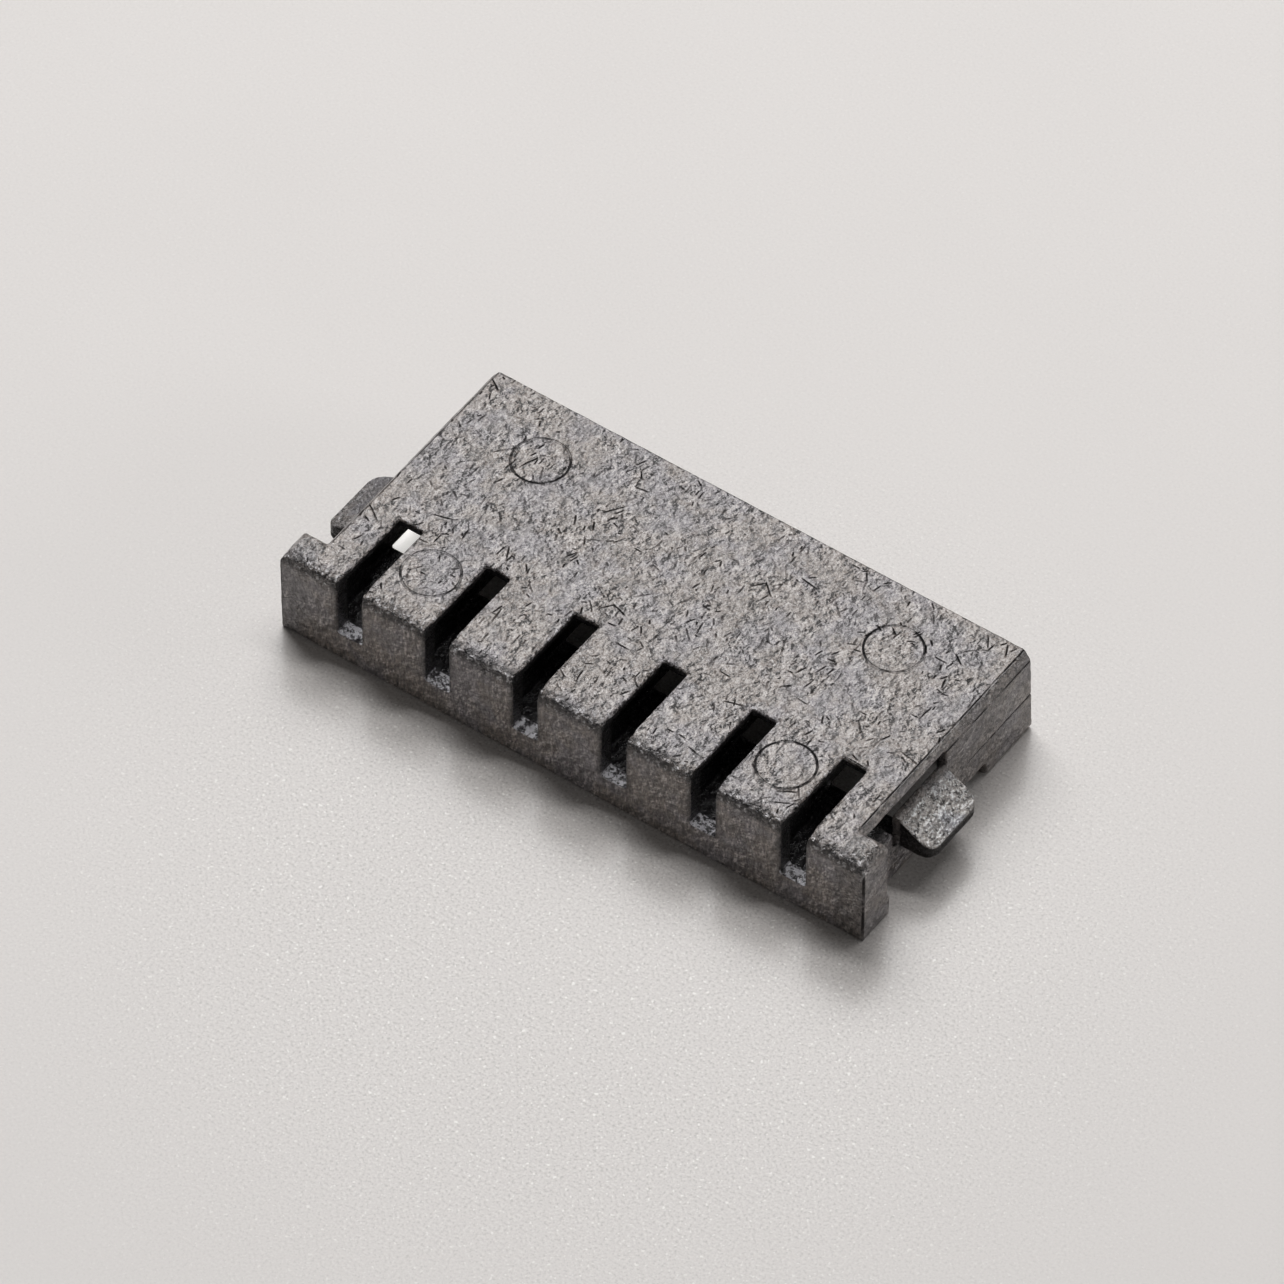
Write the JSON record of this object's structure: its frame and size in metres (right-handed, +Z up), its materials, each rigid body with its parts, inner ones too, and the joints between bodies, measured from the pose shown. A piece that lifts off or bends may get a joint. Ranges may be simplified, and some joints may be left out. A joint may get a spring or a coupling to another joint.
{
  "type": "wire-to-board connector housing",
  "caption": "Low-profile crimp housing of a wire-to-board connector: a flat moulded bar with a slotted front, open wire entries at the rear, end flanges and sloped lock ears.",
  "frame": {"origin": "centre of the underside, in the middle of the housing's length and depth", "axes": "+X along the row of positions, +Y towards the wire entries at the rear, +Z up from the underside to the top plate"},
  "size_m": [0.0082, 0.0036, 0.0012],
  "materials": {
    "housing": "matt, glass-filled moulded plastic with fine fibre marks"
  },
  "bodies": {
    "root": {"housing": "housing"}
  },
  "joints": []
}
